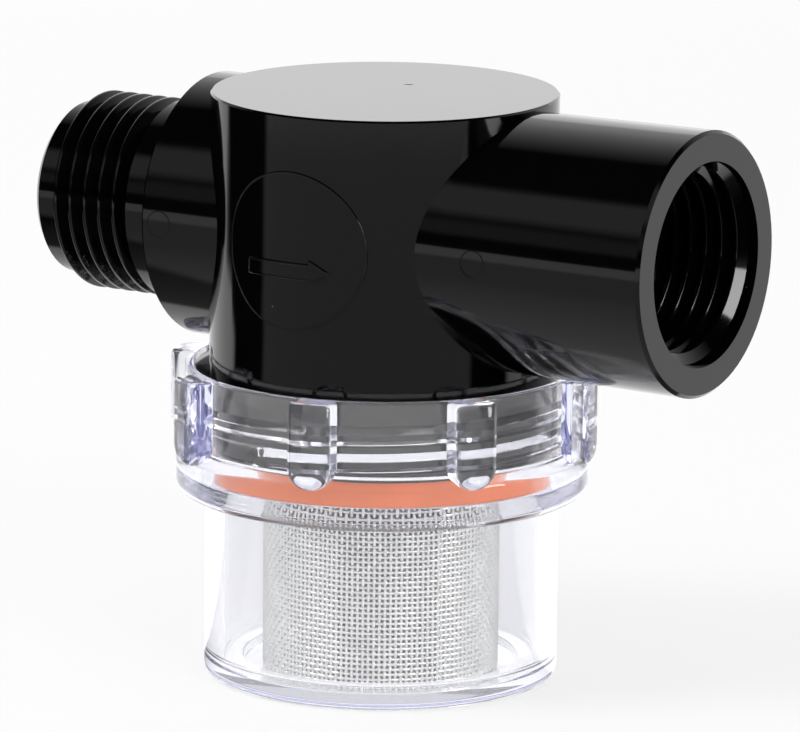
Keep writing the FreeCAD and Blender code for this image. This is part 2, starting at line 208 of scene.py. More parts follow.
class StageSizes(bpy.types.PropertyGroup):
    """Floor, lamps and camera."""
    camera_turn: angle("Camera Turn", "Turn of the camera from the front", 32.04)
    camera_rise: angle("Camera Rise", "Height angle of the camera", 11.87)
    camera_roll: angle("Camera Roll", "Roll of the camera", 0.55)
    camera_distance: length("Camera Distance", "Distance of the camera", 850.0)
    camera_side: length("Camera Side", "Shift of the camera to its right", 1.77)
    camera_lift: length("Camera Lift", "Shift of the camera upwards", 31.72)
    lens: bpy.props.FloatProperty(
        name="Lens", description="Focal length in millimetres", default=366.4, min=10.0)
    floor_colour: colour("Floor", "Colour of the floor", (0.93, 0.93, 0.93))
    floor_half: length("Floor Half", "Half of the floor's width", 2500.0)


class MedallionSizes(bpy.types.PropertyGroup):
    """Edges of the round pad and its flow arrow."""
    pad_radius: length("Pad Radius", "Radius of the round pad", 8.1)
    pad_depth: length("Pad Depth", "Distance of the pad's edge from the head's axis", 18.06)
    arrow_depth: length("Arrow Depth", "Distance of the arrow's edge from the head's axis", 18.2)
    pad_bead: length("Pad Bead", "Radius of the pad's rounded edge", 0.13)
    arrow_bead: length("Arrow Bead", "Radius of the arrow's rounded edge", 0.15)
    arrow_tail: length("Arrow Tail", "From the pad's middle back to the arrow's tail", 5.1)
    arrow_tip: length("Arrow Tip", "From the pad's middle on to the arrow's tip", 4.5)
    arrow_head: length("Arrow Head", "Length of the arrow's head", 2.1)
    arrow_breadth: length("Arrow Breadth", "Width of the arrow's head", 2.4)
    arrow_shaft: length("Arrow Shaft", "Width of the arrow's shaft", 1.5)
    arrow_drop: length("Arrow Drop", "Depth of the arrow below the ports' axis", 2.0)


GROUPS = {
    "strainer_head": HeadFinish,
    "strainer_medallion": MedallionSizes,
    "strainer_pipe_threads": PipeThreadSizes,
    "strainer_ejector_marks": EjectorMarkSizes,
    "strainer_bowl": BowlSizes,
    "strainer_gasket": GasketSizes,
    "strainer_screen": ScreenSizes,
    "strainer_stage": StageSizes,
}


# ---- mesh helpers ------------------------------------------------------------------------------

def add_object(name, mesh):
    """Object at the origin that holds a finished mesh."""
    piece = bpy.data.objects.new(name, mesh)
    bpy.context.scene.collection.objects.link(piece)
    return piece


def mesh_from(bm, name):
    """Mesh with the shape of a bmesh, which is freed."""
    mesh = bpy.data.meshes.new(name)
    bm.to_mesh(mesh)
    bm.free()
    return mesh


def evaluated_mesh(source, name):
    """Mesh of an object as its modifiers or its bevel leave it."""
    evaluated = source.evaluated_get(bpy.context.evaluated_depsgraph_get())
    mesh = bpy.data.meshes.new_from_object(evaluated)
    mesh.name = name
    return mesh


def finish_piece(bm, name, body, material, smooth_limit=35.0):
    """Turn a bmesh into a smooth-shaded piece that rides on a body."""
    piece = add_object(name, mesh_from(bm, name))
    dress(piece, body, material, smooth_limit)
    return piece


def dress(piece, body, material, smooth_limit):
    """Shade, colour and mount a piece."""
    mesh = piece.data
    mesh.shade_smooth()
    mesh.set_sharp_from_angle(angle=math.radians(smooth_limit))
    mesh.materials.clear()
    mesh.materials.append(material)
    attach(piece, body)


def rotate_all(bm, turn, axis):
    """Turn everything round one of the frame's axes."""
    bmesh.ops.rotate(
        bm, verts=bm.verts[:], cent=ORIGIN, matrix=Matrix.Rotation(turn, 3, axis))


def face_outwards(bm):
    """Point every face outwards."""
    bmesh.ops.recalc_face_normals(bm, faces=bm.faces[:])


def spin_round(bm, steps):
    """Sweep every edge once round +Z and close the seam."""
    bmesh.ops.spin(
        bm, geom=bm.edges[:], cent=ORIGIN, axis=UP, dvec=ORIGIN,
        angle=math.tau, steps=steps, use_merge=True, use_duplicate=False)
    bmesh.ops.remove_doubles(bm, verts=bm.verts[:], dist=MERGE)


def round_edges(bm, edges, radius, segments):
    """Round the edges of a solid."""
    bmesh.ops.bevel(
        bm, geom=edges, offset=radius, offset_type="OFFSET", affect="EDGES",
        segments=segments, profile=0.5, material=-1)


def round_corners(bm, corners, radius, segments=4):
    """Round the corners of a flat outline."""
    bmesh.ops.bevel(
        bm, geom=corners, offset=radius, offset_type="OFFSET", affect="VERTICES",
        segments=segments, profile=0.5, material=-1)


def lathe(outline):
    """Turned solid from (radius, height, round) corners, where a round of 0 is a sharp corner."""
    bm = bmesh.new()
    corners = [bm.verts.new((radius, 0, height)) for radius, height, _ in outline]
    bm.faces.new(corners)
    for size in sorted({entry for *_, entry in outline if entry}):
        chosen = [corner for corner, (*_, entry) in zip(corners, outline) if entry == size]
        round_corners(bm, chosen, size)
    bmesh.ops.delete(bm, geom=bm.faces[:], context="FACES_ONLY")
    on_axis = [e for e in bm.edges if all(abs(v.co.x) < MERGE for v in e.verts)]
    bmesh.ops.delete(bm, geom=on_axis, context="EDGES")
    spin_round(bm, LATHE_STEPS)
    face_outwards(bm)
    return bm


def screw_ridge(section, pitch, turns, steps, fade):
    """Ridge that climbs round +Z and runs out at both ends.

    The section holds (radius, height) corners, of which the third is on the crest. The fade is
    the length of each run-out, in turns.
    """
    least_rise = 0.06
    bm = bmesh.new()
    root = max(section, key=lambda point: abs(point[0] - section[2][0]))[0]
    ring = [bm.verts.new((radius, 0, height)) for radius, height in section]
    bm.faces.new(ring)
    for step in range(round(turns * steps) + 1):
        turn = step / steps
        rise = min(1.0, turn / fade, (turns - turn) / fade)
        rise = math.sin(math.pi / 2 * max(rise, least_rise))
        if step:
            loop = [bm.edges.get((ring[i - 1], ring[i])) for i in range(len(ring))]
            grown = bmesh.ops.extrude_edge_only(bm, edges=loop)["geom"]
            fresh = [v for v in grown if isinstance(v, bmesh.types.BMVert)]
            ring = [next(e.other_vert(v) for e in v.link_edges if e.other_vert(v) in fresh)
                    for v in ring]
        swing = math.tau * turn
        for vertex, (radius, height) in zip(ring, section):
            reach = root + (radius - root) * rise
            vertex.co = (reach * math.cos(swing), reach * math.sin(swing), height + pitch * turn)
    bm.faces.new(ring)
    face_outwards(bm)
    return bm


def merged_copy(node, name):
    """Copy of a packed node's mesh with its loose triangles joined."""
    bm = bmesh.new()
    bm.from_mesh(FRAME["nodes"][node].data)
    bmesh.ops.remove_doubles(bm, verts=bm.verts[:], dist=MERGE)
    bmesh.ops.dissolve_degenerate(bm, dist=MERGE / 4, edges=bm.edges[:])
    mesh = mesh_from(bm, name)
    flat_normals = mesh.attributes.get("custom_normal")
    if flat_normals:
        mesh.attributes.remove(flat_normals)
    return add_object(name, mesh)


def united(base, adding, name):
    """One mesh from a base object and another that is fused with it."""
    fusing = base.modifiers.new("Fuse", "BOOLEAN")
    fusing.operation = "UNION"
    fusing.solver = "EXACT"
    fusing.object = adding
    mesh = evaluated_mesh(base, name)
    for spent in (base, adding):
        bpy.data.objects.remove(spent)
    return mesh


def strands(name, lines, radius, closed=False, smoothness=0):
    """Mesh of round strands that follow the given lines."""
    curve = bpy.data.curves.new(name + "_line", "CURVE")
    curve.dimensions = "3D"
    curve.bevel_depth = radius
    curve.bevel_resolution = smoothness
    curve.use_fill_caps = not closed
    for line in lines:
        spline = curve.splines.new("POLY")
        spline.points.add(len(line) - 1)
        spline.use_cyclic_u = closed
        for point, place in zip(spline.points, line):
            point.co = (*place, 1)
    strand = add_object(name + "_line", curve)
    mesh = evaluated_mesh(strand, name)
    bpy.data.objects.remove(strand)
    bpy.data.curves.remove(curve)
    return add_object(name, mesh)


# ---- material helpers --------------------------------------------------------------------------

class Nodes:
    """Small helper that adds and links nodes of one tree."""

    def __init__(self, tree):
        self.tree = tree

    def add(self, kind, inputs=None, **settings):
        """New node with some of its sockets and settings given."""
        node = self.tree.nodes.new(kind)
        for key, value in settings.items():
            setattr(node, key, value)
        for key, value in (inputs or {}).items():
            self.set(node.inputs[key], value)
        return node

    def set(self, socket, value):
        """Link a socket to another, or give it a plain value."""
        if isinstance(value, bpy.types.NodeSocket):
            self.tree.links.new(value, socket)
        else:
            socket.default_value = value

    def maths(self, operation, *values, clamp=False):
        """Result of a sum on one or two values."""
        inputs = dict(enumerate(values))
        return self.add("ShaderNodeMath", inputs, operation=operation, use_clamp=clamp).outputs[0]

    def span(self, value, start, end, low, high):
        """Value that runs from low to high as another runs from start to end."""
        return self.add("ShaderNodeMapRange", {
            "Value": value, "From Min": start, "From Max": end,
            "To Min": low, "To Max": high}).outputs[0]

    def mix(self, amount, first, second):
        """Blend of two colours, which a Mix node takes at 6 and 7 and puts out at 2."""
        inputs = {0: amount, 6: first, 7: second}
        return self.add("ShaderNodeMix", inputs, data_type="RGBA").outputs[2]

    def drift(self, place, scale, first, second, detail=2.0):
        """Colour that drifts between two shades in soft clouds."""
        cloud = self.add("ShaderNodeTexNoise", {"Vector": place, "Scale": scale, "Detail": detail})
        return self.mix(cloud.outputs["Fac"], first, second)


def effect_group(name, inputs, outputs):
    """Empty shader node group: its node helper, what it is given and what it puts out."""
    tree = bpy.data.node_groups.new(name, "ShaderNodeTree")
    for label, kind, value in inputs:
        socket = tree.interface.new_socket(name=label, in_out="INPUT", socket_type=kind)
        if value is not None:
            socket.default_value = value
    for label, kind in outputs:
        tree.interface.new_socket(name=label, in_out="OUTPUT", socket_type=kind)
    nodes = Nodes(tree)
    return nodes, nodes.add("NodeGroupInput").outputs, nodes.add("NodeGroupOutput").inputs


def make_moulded_skin():
    """Faint waviness and uneven gloss of moulded plastic or rubber."""
    grain_fineness = 9.0
    grain_height = 0.12
    nodes, given, out = effect_group(
        "Moulded Skin",
        [("Vector", "NodeSocketVector", None), ("Scale", "NodeSocketFloat", 220.0),
         ("Roughness", "NodeSocketFloat", 0.15), ("Spread", "NodeSocketFloat", 0.08)],
        [("Roughness", "NodeSocketFloat"), ("Height", "NodeSocketFloat")])
    broad = nodes.add("ShaderNodeTexNoise",
                      {"Vector": given["Vector"], "Scale": given["Scale"], "Detail": 3.0})
    fine_scale = nodes.maths("MULTIPLY", given["Scale"], grain_fineness)
    fine = nodes.add("ShaderNodeTexNoise",
                     {"Vector": given["Vector"], "Scale": fine_scale, "Detail": 2.0})
    centred = nodes.maths("SUBTRACT", broad.outputs["Fac"], 0.5)
    shift = nodes.maths("MULTIPLY", centred, given["Spread"])
    nodes.set(out["Roughness"], nodes.maths("ADD", given["Roughness"], shift, clamp=True))
    grain = nodes.maths("MULTIPLY", fine.outputs["Fac"], grain_height)
    nodes.set(out["Height"], nodes.maths("ADD", broad.outputs["Fac"], grain))


def make_dust():
    """Sparse bright specks."""
    nodes, given, out = effect_group(
        "Dust Specks",
        [("Vector", "NodeSocketVector", None), ("Scale", "NodeSocketFloat", 700.0),
         ("Size", "NodeSocketFloat", 0.12), ("Share", "NodeSocketFloat", 0.04)],
        [("Mask", "NodeSocketFloat")])
    cells = nodes.add("ShaderNodeTexVoronoi", {"Vector": given["Vector"], "Scale": given["Scale"]})
    near = nodes.maths("LESS_THAN", cells.outputs["Distance"], given["Size"])
    lot = nodes.add("ShaderNodeSeparateColor", {"Color": cells.outputs["Color"]})
    chosen = nodes.maths("LESS_THAN", lot.outputs[0], given["Share"])
    nodes.set(out["Mask"], nodes.maths("MULTIPLY", near, chosen))


def new_material(name):
    """Material with a Principled shader, its node helper and Object coordinates."""
    material = bpy.data.materials.new(name)
    material.use_nodes = True
    nodes = Nodes(material.node_tree)
    shader = material.node_tree.nodes["Principled BSDF"]
    place = nodes.add("ShaderNodeTexCoord").outputs["Object"]
    return material, nodes, shader, place


def add_skin(nodes, shader, place, *, scale, roughness, spread, depth):
    """Feed a shader with the moulded skin's roughness and height; depth is in metres."""
    skin = nodes.add("ShaderNodeGroup", node_tree=bpy.data.node_groups["Moulded Skin"])
    for key, value in (("Vector", place), ("Scale", scale), ("Roughness", roughness),
                       ("Spread", spread)):
        nodes.set(skin.inputs[key], value)
    bump = nodes.add("ShaderNodeBump", {"Height": skin.outputs["Height"], "Distance": depth})
    nodes.set(shader.inputs["Roughness"], skin.outputs["Roughness"])
    nodes.set(shader.inputs["Normal"], bump.outputs["Normal"])
    return skin, bump


def add_dust(nodes, place, *, scale, size, share):
    """Mask of dust specks."""
    dust = nodes.add("ShaderNodeGroup", node_tree=bpy.data.node_groups["Dust Specks"])
    for key, value in (("Vector", place), ("Scale", scale), ("Size", size), ("Share", share)):
        nodes.set(dust.inputs[key], value)
    return dust.outputs["Mask"]


def shade(value, strength=1.0):
    """Opaque colour from a colour property, at full strength or darker."""
    return (*(channel * strength for channel in value), 1.0)


def head_plastic():
    """Glossy black nylon with a faint gate mark on its top and sparse dust."""
    made = bpy.data.materials.get("Head Plastic")
    if made:
        return made
    sizes = bpy.context.scene.strainer_head
    material, nodes, shader, place = new_material("Head Plastic")
    skin, bump = add_skin(
        nodes, shader, place, scale=90.0, roughness=sizes.roughness, spread=0.04, depth=0.00001)
    mask = add_dust(nodes, place, scale=480.0, size=0.045, share=0.06)
    base = nodes.mix(mask, shade(sizes.plastic), shade(sizes.dust))
    to_gate = (-0.0001, -0.00435, -HEAD_HIGH.z)
    gate_core = 0.2 * MM
    gate_edge = 0.6 * MM
    gate_depth = 11.0  # against the height of the moulded skin, which is about 1
    gate = nodes.add("ShaderNodeMapping", {"Vector": place, "Location": to_gate})
    distance = nodes.add("ShaderNodeVectorMath", {0: gate.outputs[0]}, operation="LENGTH")
    dimple = nodes.span(distance.outputs["Value"], gate_core, gate_edge, 0.0, gate_depth)
    nodes.set(bump.inputs["Height"], nodes.maths("ADD", skin.outputs["Height"], dimple))
    nodes.set(shader.inputs["Base Color"], base)
    shader.inputs["IOR"].default_value = 1.5
    shader.inputs["Specular IOR Level"].default_value = 0.4
    return material


def bowl_plastic():
    """Clear plastic with a faint lavender tint."""
    sizes = bpy.context.scene.strainer_bowl
    material, nodes, shader, place = new_material("Bowl Plastic")
    add_skin(
        nodes, shader, place, scale=120.0, roughness=sizes.roughness, spread=0.012, depth=0.000004)
    tint = nodes.drift(place, 60.0, shade(sizes.tint), shade(sizes.tint, 0.985))
    nodes.set(shader.inputs["Base Color"], tint)
    shader.inputs["Transmission Weight"].default_value = 1.0 - sizes.haze
    shader.inputs["IOR"].default_value = 1.5
    depth = nodes.add("ShaderNodeVolumeAbsorption", {
        "Color": shade(sizes.depth_tint), "Density": sizes.depth_strength})
    nodes.set(nodes.tree.nodes["Material Output"].inputs["Volume"], depth.outputs[0])
    return material


def gasket_rubber():
    """Matte orange silicone rubber."""
    sizes = bpy.context.scene.strainer_gasket
    material, nodes, shader, place = new_material("Gasket Rubber")
    add_skin(nodes, shader, place, scale=260.0, roughness=0.5, spread=0.15, depth=0.00003)
    rubber = nodes.drift(place, 180.0, shade(sizes.rubber, 0.86), shade(sizes.rubber), detail=4.0)
    nodes.set(shader.inputs["Base Color"], rubber)
    return material


def screen_steel():
    """Drawn stainless wire."""
    made = bpy.data.materials.get("Screen Steel")
    if made:
        return made
    sizes = bpy.context.scene.strainer_screen
    material, nodes, shader, place = new_material("Screen Steel")
    add_skin(nodes, shader, place, scale=900.0, roughness=0.34, spread=0.16, depth=0.000006)
    steel = nodes.drift(place, 420.0, shade(sizes.steel, 0.78), shade(sizes.steel), detail=3.0)
    nodes.set(shader.inputs["Base Color"], steel)
    shader.inputs["Metallic"].default_value = 1.0
    return material


# ---- pieces ------------------------------------------------------------------------------------

class STRAINER_OT_head(bpy.types.Operator):
    """Smooth the moulded head and give it its black plastic"""
    bl_idname = "strainer.head"
    bl_label = "Moulded Head"

    def execute(self, context):
        sizes = context.scene.strainer_head
        head = merged_copy("head", "moulded_head")
        dress(head, "head", head_plastic(), math.degrees(sizes.smooth_limit))
        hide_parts("head")
        return {"FINISHED"}


class STRAINER_OT_medallion(bpy.types.Operator):
    """Rounded edges of the round pad and its flow arrow"""
    bl_idname = "strainer.medallion"
    bl_label = "Medallion Edges"

    def execute(self, context):
        s = context.scene.strainer_medallion
        ring_steps = 120
        longest_step = 0.5 * MM
        turns = [math.tau * step / ring_steps for step in range(ring_steps)]
        ring = [(s.pad_radius * math.cos(turn), s.pad_radius * math.sin(turn)) for turn in turns]
        neck = s.arrow_tip - s.arrow_head
        shaft = s.arrow_shaft / 2
        breadth = s.arrow_breadth / 2
        corners = [(-s.arrow_tail, -shaft), (neck, -shaft), (neck, -breadth), (s.arrow_tip, 0),
                   (neck, breadth), (neck, shaft), (-s.arrow_tail, shaft)]
        arrow = []
        for start, end in zip(corners, corners[1:] + corners[:1]):
            parts = max(1, round(math.dist(start, end) / longest_step))
            arrow += [(start[0] + (end[0] - start[0]) * part / parts,
                       start[1] + (end[1] - start[1]) * part / parts - s.arrow_drop)
                      for part in range(parts)]
        for name, flat, depth, bead in (("pad_edge", ring, s.pad_depth, s.pad_bead),
                                        ("arrow_edge", arrow, s.arrow_depth, s.arrow_bead)):
            line = [(x, -math.sqrt(depth ** 2 - x ** 2), PORT_CENTRE.z + z) for x, z in flat]
            piece = strands(name, [line], bead, closed=True, smoothness=3)
            dress(piece, "head", head_plastic(), NO_CREASE)
        return {"FINISHED"}


class STRAINER_OT_pipe_threads(bpy.types.Operator):
    """Cut-looking half-inch pipe threads on the nose and in the socket"""
    bl_idname = "strainer.pipe_threads"
    bl_label = "Pipe Threads"

    def execute(self, context):
        s = context.scene.strainer_pipe_threads
        nose_base = HEAD_LOW.x + s.nose_start
        socket_base = HEAD_HIGH.x - s.socket_start - s.pitch * s.socket_turns
        for name, root, crest, turns, base in (
                ("inlet_pipe_thread", s.nose_root, s.nose_crest, s.nose_turns, nose_base),
                ("outlet_pipe_thread", s.socket_root, s.socket_crest, s.socket_turns, socket_base)):
            section = self.ridge_section(s, root, crest)
            bm = screw_ridge(section, s.pitch, turns, PIPE_THREAD_STEPS, fade=0.25)
            rotate_all(bm, math.radians(90), "Y")
            bmesh.ops.translate(bm, verts=bm.verts[:], vec=PORT_CENTRE + FLOW * base)
            finish_piece(bm, name, "head", head_plastic(), 30.0)
        return {"FINISHED"}

    def ridge_section(self, s, root, crest):
        """One ridge's foot, softened shoulders and flat crest, as (radius, height) corners."""
        foot = s.pitch / 2 * 0.98  # a hair short of the next ridge's foot
        flat = s.crest_flat / 2
        shoulder = crest - math.copysign(flat / 2, crest - root)
        return [(root, -foot), (shoulder, -flat * 1.6), (crest, -flat * 0.6),
                (crest, flat * 0.6), (shoulder, flat * 1.6), (root, foot)]


class STRAINER_OT_ejector_marks(bpy.types.Operator):
    """Round ejector-pin marks on the side of both ports"""
    bl_idname = "strainer.ejector_marks"
    bl_label = "Ejector Marks"

    def execute(self, context):
        sizes = context.scene.strainer_ejector_marks
        bead_steps = 8
        ring_steps = 64
        sunk = sizes.bead * 0.45  # so that only the top of the bead stands out
        marks = (("outlet_ejector_mark", sizes.outlet_place, sizes.outlet_radius),
                 ("inlet_ejector_mark", -sizes.inlet_place, sizes.inlet_radius))
        for name, place, port_radius in marks:
            bm = bmesh.new()
            bmesh.ops.create_circle(bm, segments=bead_steps, radius=sizes.bead)
            rotate_all(bm, math.radians(90), "X")
            bmesh.ops.translate(bm, verts=bm.verts[:], vec=(sizes.radius, 0, 0))
            spin_round(bm, ring_steps)
            rotate_all(bm, math.radians(90), "X")
            for vertex in bm.verts:
                vertex.co.y -= math.sqrt(port_radius ** 2 - vertex.co.z ** 2) - sunk
            bmesh.ops.translate(bm, verts=bm.verts[:], vec=PORT_CENTRE + FLOW * place)
            face_outwards(bm)
            finish_piece(bm, name, "head", head_plastic(), NO_CREASE)
        return {"FINISHED"}


class STRAINER_OT_bowl(bpy.types.Operator):
    """Clear bowl with its flange, collar, grip ribs and coarse thread"""
    bl_idname = "strainer.bowl"
    bl_label = "Clear Bowl"

    def execute(self, context):
        s = context.scene.strainer_bowl
        rim = BOWL_HIGH.z
        body = mesh_from(self.turned_body(s, rim), "bowl_body")
        adding = mesh_from(self.ribs_and_thread(s, rim), "bowl_ribs")
        mesh = united(add_object("bowl_body", body), add_object("bowl_ribs", adding), "clear_bowl")
        bowl = add_object("clear_bowl", mesh)
        dress(bowl, "bowl", bowl_plastic(), 32.0)
        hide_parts("bowl")
        return {"FINISHED"}

    def turned_body(self, s, rim):
        """Cup, flange and collar, from the middle of the base out, up, over the rim and back in."""
        cup_bore = s.cup_radius - s.wall
        fine = 0.12 * MM
        soft = 0.3 * MM
        inside_corner = 0.6 * MM
        return lathe([
            (0, 0, 0),
            (s.cup_radius, 0, s.base_round),
            (s.cup_radius, s.flange_low, soft),
            (s.flange_radius, s.flange_low, s.flange_round),
            (s.flange_radius, s.flange_high, soft),
            (s.collar_radius, s.flange_high + s.flange_slope, soft),
            (s.collar_radius, rim, soft),
            (s.collar_bore, rim, fine),
            (s.collar_bore, s.collar_low, fine),
            (s.pocket_radius, s.pocket_high, fine),
            (s.pocket_radius, GASKET_LOW.z, fine),
            (cup_bore, GASKET_LOW.z, fine),
            (cup_bore, s.floor, inside_corner),
            (s.groove_outer, s.floor, soft),
            (s.groove_outer, SCREEN_LOW.z, fine),
            (s.groove_inner, SCREEN_LOW.z, fine),
            (s.groove_inner, s.floor, soft),
            (0, s.floor, 0),
        ])

    def ribs_and_thread(self, s, rim):
        """Grip ribs and the inward thread, to be fused with the bowl's turned body."""
        ribs = self.grip_ribs(s, rim)
        thread = mesh_from(self.coarse_thread(s), "coarse_thread")
        ribs.from_mesh(thread)
        bpy.data.meshes.remove(thread)
        return ribs

    def grip_ribs(self, s, rim):
        """Ribs round the collar, with round feet and softened edges."""
        inner = (s.collar_radius + s.collar_bore) / 2
        half = s.rib_width / 2
        top = rim - 0.02 * MM  # just under the rim, so that the fusing meets no shared face
        rib = bmesh.new()
        outline = [(inner, -half, top), (inner, -half, s.rib_foot), (inner, half, s.rib_foot),
                   (inner, half, top)]
        corners = [rib.verts.new(place) for place in outline]
        rib.faces.new(corners)
        foot_round = half * 0.999  # just short of half, so that the two rounds don't meet
        foot_segments = 12
        round_corners(rib, corners[1:3], foot_round, foot_segments)
        grown = bmesh.ops.extrude_face_region(rib, geom=rib.faces[:])["geom"]
        outer = [v for v in grown if isinstance(v, bmesh.types.BMVert)]
        bmesh.ops.translate(rib, verts=outer, vec=(s.rib_radius - inner, 0, 0))
        face_outwards(rib)
        reach = s.rib_radius - MERGE
        face_edges = [e for e in rib.edges if all(v.co.x > reach for v in e.verts)]
        sides = [e for e in face_edges if any(v.co.z < top - MERGE for v in e.verts)]
        round_edges(rib, sides, s.rib_round, 5)
        level = [e for e in rib.edges if all(v.co.z > top - MERGE for v in e.verts)]
        level = [e for e in level if any(v.co.x > inner + MERGE for v in e.verts)]
        round_edges(rib, level, 0.5 * MM, 3)
        bmesh.ops.remove_doubles(rib, verts=rib.verts[:], dist=MERGE)
        rotate_all(rib, s.rib_first, "Z")
        copies = s.rib_count - 1
        bmesh.ops.spin(
            rib, geom=rib.verts[:] + rib.edges[:] + rib.faces[:], cent=ORIGIN, axis=UP,
            dvec=ORIGIN, angle=math.tau * copies / s.rib_count, steps=copies,
            use_duplicate=True, use_merge=False)
        face_outwards(rib)
        return rib

    def coarse_thread(self, s):
        """Buttress ridge that stands in from the collar's bore, its foot sunk in the wall."""
        sunk = 0.3 * MM
        root = s.collar_bore + sunk
        crest = s.collar_bore - s.thread_depth
        slope = 1.0 + sunk / s.thread_depth
        flat = s.thread_crest / 2
        section = [(root, -flat - s.thread_rise * slope), (root, flat + s.thread_depth * slope),
                   (crest, flat), (crest, -flat)]
        thread = screw_ridge(
            section, s.thread_lead, s.thread_turns, COARSE_THREAD_STEPS, fade=0.03)
        rotate_all(thread, s.thread_start, "Z")
        height = s.collar_low + flat + s.thread_rise
        bmesh.ops.translate(thread, verts=thread.verts[:], vec=UP * height)
        return thread


class STRAINER_OT_gasket(bpy.types.Operator):
    """Flat orange gasket with softened edges"""
    bl_idname = "strainer.gasket"
    bl_label = "Gasket"

    def execute(self, context):
        bowl = context.scene.strainer_bowl
        sizes = context.scene.strainer_gasket
        inner = bowl.cup_radius - bowl.wall
        outer = GASKET_HIGH.x
        low, high = GASKET_LOW.z, GASKET_HIGH.z
        bm = lathe([(radius, height, sizes.edge_round) for radius, height in (
            (inner, low), (outer, low), (outer, high), (inner, high))])
        gasket = finish_piece(bm, "sealing_gasket", "bowl", gasket_rubber())
        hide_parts("gasket")
        return {"FINISHED"}


class STRAINER_OT_screen(bpy.types.Operator):
    """Woven wire sleeve with a lapped seam"""
    bl_idname = "strainer.screen"
    bl_label = "Woven Screen"

    def execute(self, context):
        sizes = context.scene.strainer_screen
        middle = SCREEN_HIGH.y - sizes.thickness / 2
        lap_lift = sizes.thickness * 1.02
        lap_climb = 3  # uprights over which the lapped edge climbs
        uprights = round(math.tau * middle / sizes.pitch / 2) * 2
        step = math.tau / uprights
        lapped = round(sizes.lap / step)
        rows = round((SCREEN_HIGH.z - SCREEN_LOW.z) / sizes.pitch)
        rise = (SCREEN_HIGH.z - SCREEN_LOW.z) / rows

        def sheet_point(index, height, offset):
            """Point of the rolled sheet at one upright, moved off its middle by an offset."""
            climb = min(1.0, max(0.0, (index - uprights + lap_climb) / lap_climb))
            radius = middle + lap_lift * climb + offset
            turn = sizes.seam + step * index
            return (radius * math.cos(turn), radius * math.sin(turn), height)

        def side(column, row):
            """Side of the cloth on which an upright passes a row."""
            return 1 if (column + row) % 2 else -1

        columns = range(uprights + lapped + 1)
        levels = [SCREEN_LOW.z + rise * (row + 0.5) for row in range(rows)]
        warp = []
        for column in columns:
            points = [sheet_point(column, SCREEN_LOW.z, 0)]
            points += [sheet_point(column, z, sizes.weave * side(column, row))
                       for row, z in enumerate(levels)]
            points.append(sheet_point(column, SCREEN_HIGH.z, 0))
            warp.append(points)
        weft = []
        for row, z in enumerate(levels):
            weft.append([sheet_point(column, z, -sizes.hoop_weave * side(column, row))
                         for column in columns])
        pieces = (("screen_uprights", warp), ("screen_hoops", weft))
        made = [strands(name, lines, sizes.wire) for name, lines in pieces]
        for piece in made:
            dress(piece, "screen", screen_steel(), NO_CREASE)
        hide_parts("screen")
        return {"FINISHED"}


# ---- stage -------------------------------------------------------------------------------------

